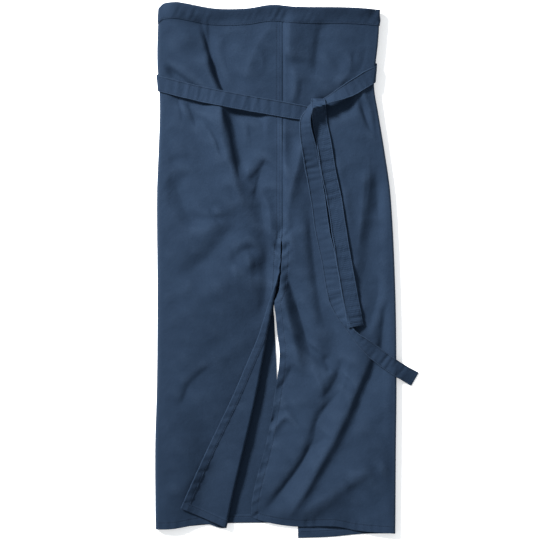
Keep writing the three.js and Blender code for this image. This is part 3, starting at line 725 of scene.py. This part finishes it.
def ripple(edge, along, away):
    """Ripple that the stitches draw into a hem: an uneven wave along it, gone at a distance from its edge."""
    height, wavelength, seed, full, gone = RIPPLES[edge]
    return height * wander(along, wavelength, seed) * (1 - smoothstep(away, full, gone))


def bulge(points, outward, reach):
    """How far each grid point stands out from the middle of its neighbours, both ways of the grid."""
    wide = np.pad(points, ((reach, reach), (reach, reach), (0, 0)), mode="edge")
    inner = slice(reach, -reach)
    beside = (wide[:-2 * reach, inner] + wide[2 * reach:, inner]
              + wide[inner, :-2 * reach] + wide[inner, 2 * reach:]) / 4
    return ((points - beside) * outward).sum(-1)


def left_points(v):
    """Left panel over its columns: hem and turned corner, crease, front, side roll and back."""
    hem_v, flap_v, crease_v, front_v, side_v, back_v = np.split(v, np.cumsum(LEFT_COLUMNS)[:-1], axis=1)
    rolled = np.pi * CREASE["radius"] / CREASE_COS

    def roll_end(at):
        """Sheet u where the crease's roll ends and the flap begins, at least FLAP_LEAST off the slit edge."""
        rolled_to = crease_at(at) + (np.pi - 1) * CREASE["radius"] / CREASE_COS
        return np.minimum(rolled_to, slit_left(at) - FLAP_LEAST)

    hem_u = slit_left(hem_v) - HEM_STEPS
    flap_u = lerp(slit_left(flap_v) - HEM_STEPS[-1], roll_end(flap_v), shares(flap_v))
    crease_u = roll_end(crease_v) - rolled * shares(crease_v)
    front_u = lerp(roll_end(front_v) - rolled, roll_middle(LEFT, front_v), shares(front_v))
    sheet_u = np.concatenate([hem_u, flap_u, crease_u, front_u], axis=1)
    return np.concatenate([left_front(sheet_u, v[:, :sheet_u.shape[1]]),
                           side_roll(LEFT, shares(side_v), side_v),
                           back_sheet(LEFT, shares(back_v), back_v)], axis=1)


def right_points(v):
    """Right panel over its columns: hem, front, side roll and back."""
    hem_v, front_v, side_v, back_v = np.split(v, np.cumsum(RIGHT_COLUMNS)[:-1], axis=1)

    def edge(at):
        """u of the panel's edge: at the slit its own, above it SEAM_LAP further under the left panel."""
        return slit_right(at) - SEAM_LAP * (1 - smoothstep(at, SLIT_TOP - 14, SLIT_TOP + 2))

    front_u = lerp(edge(front_v) + HEM_STEPS[-1], roll_middle(RIGHT, front_v), shares(front_v))
    sheet_u = np.concatenate([edge(hem_v) + HEM_STEPS, front_u], axis=1)
    return np.concatenate([right_front(sheet_u, v[:, :sheet_u.shape[1]]),
                           side_roll(RIGHT, shares(side_v), side_v),
                           back_sheet(RIGHT, shares(back_v), back_v)], axis=1)


def panel_rows(point_at, columns, front_hem, back_hem, turned):
    """v of every point of a panel's grid, and of its bottom edge: even rows down from inside the waistband,
    then the hem's own steps. The bottom edge is the front's or the back's, and level in the turned corner,
    which takes the first `turned` columns."""
    count, front_count = sum(columns), sum(columns[:-2])
    hem_u = point_at(np.full((1, count), HEM_PROBE))[0, :, 0]
    bottom = np.where(np.arange(count) < front_count, front_hem(hem_u), back_hem(hem_u))
    bottom[:turned] = CORNER_HEM
    top = waist_top(point_at(np.full((1, count), WAIST_PROBE))[0, :, 0]) + PANEL_TOP
    body = lerp(top, bottom - HEM_STEPS[-1], np.linspace(0, 1, BODY_ROWS)[:, None])
    return np.concatenate([body, bottom - HEM_STEPS[-2::-1, None]]), bottom


def panel(name, side, point_at, columns, front_hem, back_hem, turned=0):
    """Closed panel from its slit edge round the side to its back edge, and its rows of stitches. Three
    edges are hemmed: there the cloth is thinner at the rim, doubled inside, drawn in at the stitches and
    rippled, but not into the floor. At the closed seam above the slit it is only sewn."""
    v, bottom = panel_rows(point_at, columns, front_hem, back_hem, turned)
    points = point_at(v)
    outward = -side * grid_normals(points)
    from_slit = run_length(points, 1)
    from_back = from_slit[:, -1:] - from_slit
    from_hem = bottom - v
    closed = 1 - smoothstep(v, SLIT_TOP - 6, SLIT_TOP + 6)
    wave = ((1 - closed) * ripple("slit", v + 0.7 * from_slit, from_slit) + ripple("back", v, from_back)
            + ripple("bottom", from_slit, from_hem))
    points = points + outward * wave[..., None]
    points[..., 2] = np.maximum(points[..., 2], CLOTH / 2 + RIPPLE_CLEAR)
    # the closed seam has no hem, so there the slit's edge counts as 60 mm away
    edge = np.minimum(np.minimum(from_slit + 60 * closed, from_back), from_hem)
    rim = 1 - RIM_THIN * (1 - smoothstep(np.minimum(edge, from_slit), 0, RIM_REACH))
    groove = HEM_GROOVE * bell(edge, HEM_STITCH, SEWN_WIDE)
    if side == LEFT:
        groove += SEAM_GROOVE * closed * bell(from_slit[..., None], SEAM_STITCHES, SEWN_WIDE).sum(-1)
    face = CLOTH / 2 * rim - groove
    lining = CLOTH / 2 * rim + hem_fold(edge) * smoothstep(edge, -0.5, RIM_REACH)
    # paler at the rims and beside the hems from rubbed dye, and a painted highlight on fold ridges, where the
    # cloth stands out from its neighbours
    wear_and_highlight = (RIM_WEAR * np.exp(-edge / 1.1) + HEM_WEAR * bell(edge, HEM + 0.3, 0.7)
            + FOLD_HIGHLIGHT * np.clip(bulge(points, outward, 4), 0, 1))
    # columns run from left to right, so that the skin `face` is the outer one
    grids = (grid[:, ::side] for grid in (points, face, lining, wear_and_highlight))
    piece = cloth_wall(name, *grids, navy_twill)

    outer = points + outward * (face[..., None] + STITCH_CLEAR)
    inner = points - outward * (lining[..., None] + STITCH_CLEAR)
    opens = int(np.searchsorted(v[:, STITCH_STEP], SLIT_TOP))
    rows = []
    for line in (np.s_[opens:, STITCH_STEP], np.s_[-1 - STITCH_STEP, 4:]):
        rows += [(outer[line], outward[line]), (inner[line], -outward[line])]
    if side == LEFT:
        seams = [np.s_[8:opens, column] for column in np.searchsorted(HEM_STEPS, SEAM_STITCHES)]
        rows += [(outer[line], outward[line]) for line in seams]
    return piece, rows


def around(v):
    """Section of the tube at v, which may differ from station to station: left back, left side, front,
    right side and right back, one after the other."""
    back, side, front = BAND_STATIONS
    left_back, left_side, front_v, right_side, right_back = np.split(
        v, np.cumsum([back, side, front, side]), axis=1)
    u = lerp(roll_middle(LEFT, front_v), roll_middle(RIGHT, front_v), shares(front_v))
    return np.concatenate([
        back_sheet(LEFT, 1 - shares(left_back) + shares(left_back)[0], left_back),
        side_roll(LEFT, 1 - shares(left_side) + shares(left_side)[0] / 2, left_side),
        np.stack([u, front_v, front_height(u, front_v, FAR_FROM_SLIT, RIGHT)], -1),
        side_roll(RIGHT, shares(right_side), right_side),
        back_sheet(RIGHT, shares(right_back), right_back),
    ], axis=1)


def waistband():
    """Waistband folded over the top edge, and its row of stitches: an outer layer from its sewn edge up to
    the fold, half a circle over the fold, and an inner layer back down. The outer layer is drawn in at the
    stitches and puckers between its two edges in two slanting waves, as much as its slack allows."""
    back, side, front = BAND_STATIONS
    count = 2 * back + 2 * side + front
    top = waist_top(around(np.full((1, count), WAIST_PROBE))[0, :, 0])
    sewn_row, sewn_share = 3, 0.08
    share = np.r_[0, 0.012, 0.035, sewn_share, np.linspace(0.14, 1, 11)][:, None]
    sheet = around(top + BAND_TOP + BAND_DEEP * (1 - share))
    outward = grid_normals(sheet)
    outward *= np.sign(outward[0, count // 2, 2])
    length = run_length(sheet, 1)
    stand = CLOTH + LAYER_CLEAR
    slanted = 0.45 * wander(length + 15 * share, 27, 31) + 0.25 * wander(length - 13 * share, 12, 32)
    slack = np.clip(0.6 + 0.6 * wander(length, 140, 33), 0.15, 1.2)
    pucker = slack * slanted * np.sin(np.pi * share) ** 0.7
    outer = sheet + outward * (stand + pucker - 0.3 * bell(share, sewn_share, 0.04))[..., None]
    angle = np.linspace(0, np.pi, 9)[1:-1, None, None]
    fold = sheet[-1] + outward[-1] * stand * np.cos(angle)
    fold = fold + TO_WAIST * stand * np.sin(angle)
    points = np.concatenate([outer, fold, (sheet - outward * stand)[::-1]])
    thick = np.full(points.shape[:2], CLOTH / 2 - 0.05)
    thick[[0, -1]] *= 0.5
    wear_and_highlight = np.zeros(points.shape[:2])
    wear_and_highlight[:2] = 0.2
    grids = (grid[:, ::-1] for grid in (points, thick, thick, wear_and_highlight))
    piece = cloth_wall("waistband_cloth", *grids, navy_twill)
    return piece, [((outer + outward * CLOTH / 2)[sewn_row], outward[sewn_row])]


def cloth_top(u, v):
    """Top of the cloth under a tie: the front, the side rolls beside it and the floor beyond them."""
    front = np.where(u < 0, front_height(u, v, crease_at(v) - u, LEFT),
                     front_height(u, v, u - slit_right(v), RIGHT))
    wide = roll_width(v)
    out = np.maximum(roll_middle(LEFT, v) - u, u - roll_middle(RIGHT, v))
    rolled = back_height(v) + roll_radius(v) * (1 + np.sqrt(np.maximum(0, 1 - (out / wide) ** 2)))
    return np.where(out > wide, 0, np.where(out > 0, rolled, front) + CLOTH / 2)


def strip_top(strip, u, v):
    """Top of a strip already laid, over places (u, v), and 0 beside it: the row whose middle is nearest
    gives the height at the same share of its width."""
    middle = strip[:, TIE_MIDDLE, :2]
    near = np.hypot(u[..., None] - middle[:, 0], v[..., None] - middle[:, 1]).argmin(-1)
    edge = strip[near, -1, :2] - middle[near]
    offset = np.stack([u, v], -1) - middle[near]
    share = (offset * edge).sum(-1) / (edge ** 2).sum(-1)
    aside = np.abs(offset[..., 0] * edge[..., 1] - offset[..., 1] * edge[..., 0])
    beyond = aside / np.linalg.norm(edge, axis=-1)
    column = np.clip(np.searchsorted(ACROSS, share), 0, len(ACROSS) - 1)
    inside = (np.abs(share) < 1.08) & (beyond < 4)
    return np.where(inside, strip[near, column, 2] + TIE_THICK / 2, 0)


def level_strip(table, hand):
    """Strip seen from above, with a row every TIE_ROW along a table of (u, v, half width): the middle plus
    the share of the half width, square to the run on the side `hand`. Gives it and its half widths."""
    line = spaced_line(table, int(run_length(table[:, :2], 0)[-1] / TIE_ROW))
    ahead = unit(np.gradient(line[:, :2], axis=0))
    half = hand * line[:, 2:] * np.column_stack([-ahead[:, 1], ahead[:, 0]])
    return line[:, None, :2] + half[:, None] * ACROSS[:, None], line[:, 2]


def settled(plan, half, lean, under, taut, passes):
    """Strip laid on what is under it, with edges that curl up. Where it is drawn narrow it leans, with its
    second edge up, by `lean` times the height that its full width would need. Every pass draws each point
    towards the mean of its neighbours, as far as `taut` says along the strip, unless what is under it is
    higher."""
    up = lean * np.sqrt(np.maximum(0, TIE_FLAT_HALF ** 2 - half[:, None] ** 2))
    tops = [top(plan[..., 0], plan[..., 1]) for top in under]
    floor = np.max(tops, axis=0) + TIE_THICK / 2 + LAYER_CLEAR
    floor = floor - up * ACROSS
    floor = lerp(floor, floor.max(1, keepdims=True), smoothstep(up, 0, 4))
    z = floor.copy()
    for _ in range(passes):
        mean = z.copy()
        mean[1:-1] = (z[:-2] + 2 * z[1:-1] + z[2:]) / 4
        mean[:, 1:-1] = (mean[:, :-2] + 2 * mean[:, 1:-1] + mean[:, 2:]) / 4
        z = np.maximum(floor, lerp(z, mean, taut[:, None]))
    return np.concatenate([plan, (z + up * ACROSS + TIE_CURL * ACROSS ** 6)[..., None]], -1)


def half_turn(start, end, ahead, steps):
    """Strip turning back over or under itself: half a circle from one row to another, standing out
    `ahead` by half the height between them."""
    turn = np.linspace(0, np.pi, steps + 1)[1:-1, None, None]
    share = turn / np.pi
    rise = (end[:, 2].mean() - start[:, 2].mean()) / 2
    rows = lerp(start, end, share)
    rows[..., 2] = lerp(start[:, 2], end[:, 2], (1 - np.cos(turn[..., 0])) / 2)
    return rows + abs(rise) * np.sin(turn) * ahead


def tie_start(side):
    """Hidden start of a tie: it leaves the end of the waistband, folds back under it on a slanting line
    and runs along the underside to the side fold."""
    end = BACK_EDGE[side]
    band_v = BAND_DEEP / 2 + waist_top(end)
    foot = side_roll(side, 1.0, np.float64(TIE_OVER[side] - TIE_SLOPE[side] * TIE_WRAP))
    turn_u = end - side * TIE_TURN
    run = unit(np.array([foot[0] - turn_u, foot[1] - band_v]))
    bisector = np.array([run[0] - side, run[1]])
    slant = np.array([*bisector, 0]) * TIE_HALF / bisector[1]
    square = np.array([-run[1], run[0], 0]) * TIE_HALF * side
    spread = ACROSS[:, None]
    upper = np.array([turn_u, band_v, back_height(band_v)])
    lower = np.array([turn_u, band_v, TIE_THICK / 2 + UNDER_CLEAR])
    far = np.array([foot[0], foot[1], TIE_THICK / 2 + UNDER_CLEAR])
    first = upper + [side * (TIE_TURN - TIE_GAP), 0, 0] + np.array([0, TIE_HALF, 0]) * spread
    before, after = upper + slant * spread, lower + slant * spread
    # the run keeps off the fold at its start and the side roll at its end
    under = lerp(lower, far, np.linspace(0.2, 0.94, UNDER_ROWS)[:, None, None]) + square * spread
    turned = half_turn(before, after, np.array([-side, 0.0, 0.0]), steps=8)
    return np.concatenate([first[None], before[None], turned, after[None], under])


def tie_round(side):
    """Tie round a side roll, from the underside to the top: a band that winds down the roll at its slope,
    with its rows along the roll."""
    share = np.arange(ROUND_ROWS)[:, None] / ROUND_ROWS
    half = TIE_HALF * np.hypot(1, TIE_SLOPE[side])
    v = TIE_OVER[side] - TIE_SLOPE[side] * TIE_WRAP * (1 - share) + half * ACROSS
    angle = np.pi * (share - 0.5)
    up = np.stack([side * np.cos(angle) * roll_radius(v), 0 * v, np.sin(angle) * roll_width(v)], -1)
    return side_roll(side, 1 - share, v) + unit(up) * (CLOTH / 2 + ROUND_CLEAR + TIE_THICK / 2)


def tie_strips():
    """Middle surfaces of the left and the right tie, laid one on the other as the knot has them from below
    upward: the left tie passes under, the right tie crosses it, and the left tie comes over the right one's
    upper edge and down in front."""
    plan, half = level_strip(LEFT_RUN, 1)
    left_run = settled(plan, half, lean=0.0, under=[cloth_top], taut=np.ones(len(plan)), passes=RUN_PASSES)

    plan, half = level_strip(np.concatenate([RIGHT_RUN, RIGHT_TAIL[1:]]), -1)
    share = np.linspace(0, 1, len(plan))
    taut = lerp(1.0, 0.2, smoothstep(share, KNOT_SHARE, KNOT_SHARE + 0.1))
    under = [cloth_top, partial(strip_top, left_run)]
    right_run = settled(plan, half, KNOT_LEAN, under, taut, RUN_PASSES)

    plan, half = level_strip(LEFT_TAIL, -1)
    taut = lerp(0.05, 0.6, smoothstep(np.linspace(0, 1, len(plan)), 0.12, 0.35))
    under = under + [partial(strip_top, right_run)]
    left_tail = settled(plan, half, KNOT_LEAN, under, taut, TAIL_PASSES)

    over = half_turn(left_run[-1], left_tail[0], TO_WAIST, steps=10)
    return (np.concatenate([tie_start(LEFT), tie_round(LEFT), left_run, over, left_tail]),
            np.concatenate([tie_start(RIGHT), tie_round(RIGHT), right_run]))


def tie(name, rows, join_at, seed):
    """Closed tie through its rows, and its rows of stitches: a flat tube, thin at its edges, drawn in along
    both rows of stitches and across its hemmed end, that puckers across its length but not into the floor.
    Two strips are joined in a low ridge at the row nearest to the place `join_at`. Its edges and end are
    paler from rubbed dye together with a painted highlight, and its raised puckers carry a painted highlight."""
    middle = rows[:, TIE_MIDDLE]
    join = np.hypot(middle[:, 0] - join_at[0], middle[:, 1] - join_at[1]).argmin()
    length = run_length(rows, 0)[:, TIE_MIDDLE, None]
    normal = grid_normals(rows)
    reach = np.abs(ACROSS)
    crimp = lerp(wander(length, 12, seed), wander(length, 13, seed + 2), (1 + ACROSS) / 2)
    slack = np.clip(0.8 + 0.4 * wander(length, 80, seed + 3), 0.5, 1.2)
    pucker = 0.5 * slack * (1 - 0.7 * reach ** 4) * crimp
    points = rows + normal * (pucker + 0.3 * wander(length, 40, seed + 1))[..., None]
    points[..., 2] = np.maximum(points[..., 2], TIE_THICK / 2 + TIE_CLEAR)
    end = length[-1] - length
    # shares of the full thickness: less at the stitches and edges, more in the end's hem and at the join
    drawn = 1 - 0.45 * bell(reach, TIE_STITCH, 0.06) - 0.35 * smoothstep(reach, 0.95, 1)
    drawn = drawn + 0.35 * (1 - smoothstep(end, 7.5, 9)) - 0.3 * bell(end, 6.6, 1.2)
    drawn = drawn + 0.7 * np.exp(-((length - length[join]) / 3.5) ** 4)
    thick = np.broadcast_to(TIE_THICK / 2 * drawn, points.shape[:2]).copy()
    thick[[0, -1]] *= 0.5
    # paler edges and end: rubbed dye together with a painted highlight; paler raised puckers: a painted
    # highlight
    wear_and_highlight = 0.4 * smoothstep(reach, 0.9, 1) + 0.4 * (1 - smoothstep(end, 0, 2.5))
    wear_and_highlight = wear_and_highlight + np.clip(0.2 * pucker, 0, 0.1)
    piece = cloth_wall(name, points, thick, thick, wear_and_highlight, tie_twill)
    columns = [np.abs(ACROSS - place).argmin() for place in (-TIE_STITCH, TIE_STITCH)]
    lines = [np.s_[3:-3, column] for column in columns]
    lines += [np.s_[row, 1:-1] for row in (-4, join - 2, join + 2)]
    sewn = []
    for line in lines:
        for face in (1, -1):
            sewn.append((points[line] + face * normal[line] * thick[line][:, None], face * normal[line]))
    return piece, sewn


left_cloth, left_rows = panel("left_panel_cloth", LEFT, left_points, LEFT_COLUMNS, track(HEM_FRONT_LEFT, 1),
                              track(HEM_BACK_LEFT, 1), turned=sum(LEFT_COLUMNS[:3]))
right_cloth, right_rows = panel("right_panel_cloth", RIGHT, right_points, RIGHT_COLUMNS,
                                track(HEM_FRONT_RIGHT, 1), track(HEM_BACK_RIGHT, 1))
band_cloth, band_rows = waistband()
left_strip, right_strip = tie_strips()
left_tie, left_tie_rows = tie("left_tie_cloth", left_strip, join_at=(87, 319), seed=41)
right_tie, right_tie_rows = tie("right_tie_cloth", right_strip, join_at=(86, 482), seed=51)

left_thread = stitches("left_panel_stitches", left_rows)
right_thread = stitches("right_panel_stitches", right_rows)
band_thread = stitches("waistband_stitches", band_rows)
left_tie_thread = stitches("left_tie_stitches", left_tie_rows)
right_tie_thread = stitches("right_tie_stitches", right_tie_rows)

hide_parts("left_front", "left_side", "left_back")
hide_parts("right_front", "right_side", "right_back")
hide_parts("waistband")
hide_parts("tie_left")
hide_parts("tie_right")

floor_mesh = bpy.data.meshes.new("floor")
floor_mesh.from_pydata([(-4, -4, 0), (4, -4, 0), (4, 4, 0), (-4, 4, 0)], [], [(0, 1, 2, 3)])
floor_mesh.materials.append(paper)
floor = bpy.data.objects.new("floor", floor_mesh)
scene.collection.objects.link(floor)

# Camera straight above with a long lens: the picture is 540 pixels and 918 mm wide at the floor.
CAMERA_HEIGHT, PICTURE_WIDTH = 6.0, 0.918
camera_data = bpy.data.cameras.new("camera")
camera_data.lens = camera_data.sensor_width * CAMERA_HEIGHT / PICTURE_WIDTH
camera = bpy.data.objects.new("camera", camera_data)
camera.location = (-0.0284, 0.0006, CAMERA_HEIGHT)
scene.collection.objects.link(camera)
scene.camera = camera

# Soft low light from beyond the waistband, well to the left: an even one that the floor is bright in, and
# a spot from the same place on the upper half of the apron. The world lights it from all round.
LIGHT_FROM = Vector((-2.6, 2.2, 2.12))


def light(name, kind, aim, **settings):
    """Light of a kind with its settings, turned from LIGHT_FROM towards a point."""
    data = bpy.data.lights.new(name, kind)
    for setting, value in settings.items():
        setattr(data, setting, value)
    lamp = bpy.data.objects.new(name, data)
    lamp.location = LIGHT_FROM
    lamp.rotation_euler = (Vector(aim) - LIGHT_FROM).to_track_quat("-Z", "Y").to_euler()
    scene.collection.objects.link(lamp)


light("even key", "SUN", (0, 0, 0), energy=5.5, angle=np.radians(10))
light("upper key", "SPOT", (0.13, 0.12, 0), energy=1550, shadow_soft_size=0.5, spot_size=np.radians(20),
      spot_blend=1.0)
world = bpy.data.worlds.new("even light")
world.use_nodes = True
world.node_tree.nodes["Background"].inputs["Color"].default_value = (0.93, 0.97, 1, 1)
world.node_tree.nodes["Background"].inputs["Strength"].default_value = 0.62
scene.world = world
scene.view_settings.view_transform = "Standard"
